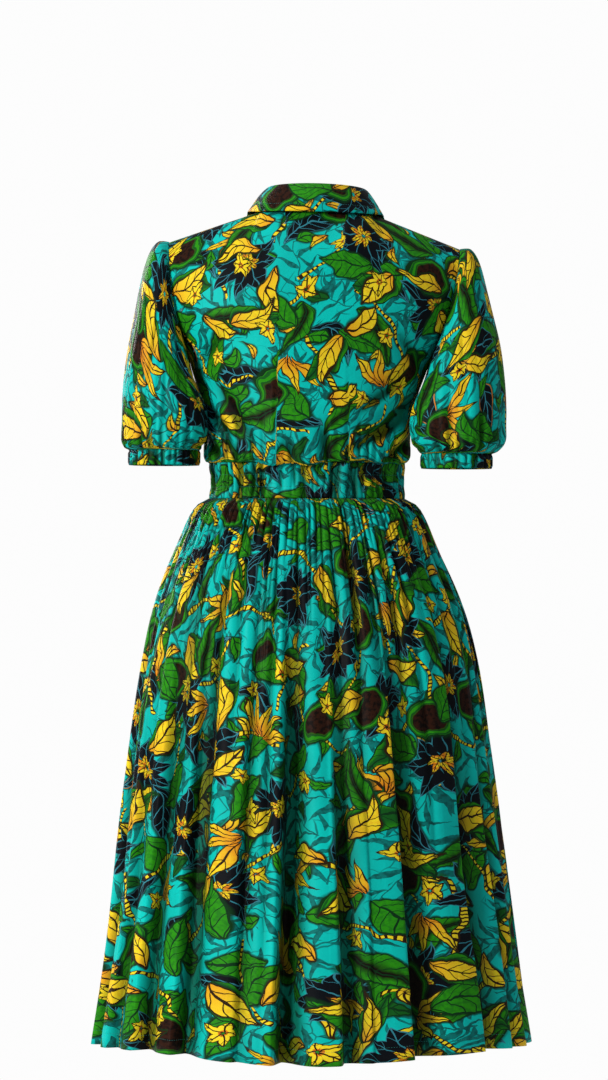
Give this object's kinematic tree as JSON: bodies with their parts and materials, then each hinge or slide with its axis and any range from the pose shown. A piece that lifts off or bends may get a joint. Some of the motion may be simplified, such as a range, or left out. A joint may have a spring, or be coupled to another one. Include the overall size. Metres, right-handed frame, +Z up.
{
  "type": "short-sleeved wax print dress",
  "caption": "Worn-shape wax print cotton dress: shirt collar, buttoned front, puff sleeves in elastic cuffs, shirred waistband and full gathered skirt.",
  "frame": {"origin": "between the shoulders on the shoulder line, where the wearer carries the dress", "axes": "+Z up, the front faces -Y, +X is the wearer's left"},
  "size_m": [0.6035, 0.4655, 1.1697],
  "materials": {
    "printed_cotton": "crisp printed cotton with a slight wax sheen",
    "printed_band": "the same print, drawn in and shaded",
    "button": "polished"
  },
  "bodies": {
    "root": {"bodice_back": "printed_cotton", "bodice_front_left": "printed_cotton", "bodice_front_right": "printed_cotton", "collar_stand": "printed_band", "collar_fall": "printed_cotton", "sleeve_left": "printed_cotton", "sleeve_right": "printed_cotton", "cuff_left": "printed_band", "cuff_right": "printed_band", "waistband": "printed_band", "skirt_back": "printed_cotton", "skirt_front": "printed_cotton", "button_1": "button", "button_2": "button", "button_3": "button", "button_4": "button", "button_5": "button"}
  },
  "joints": []
}
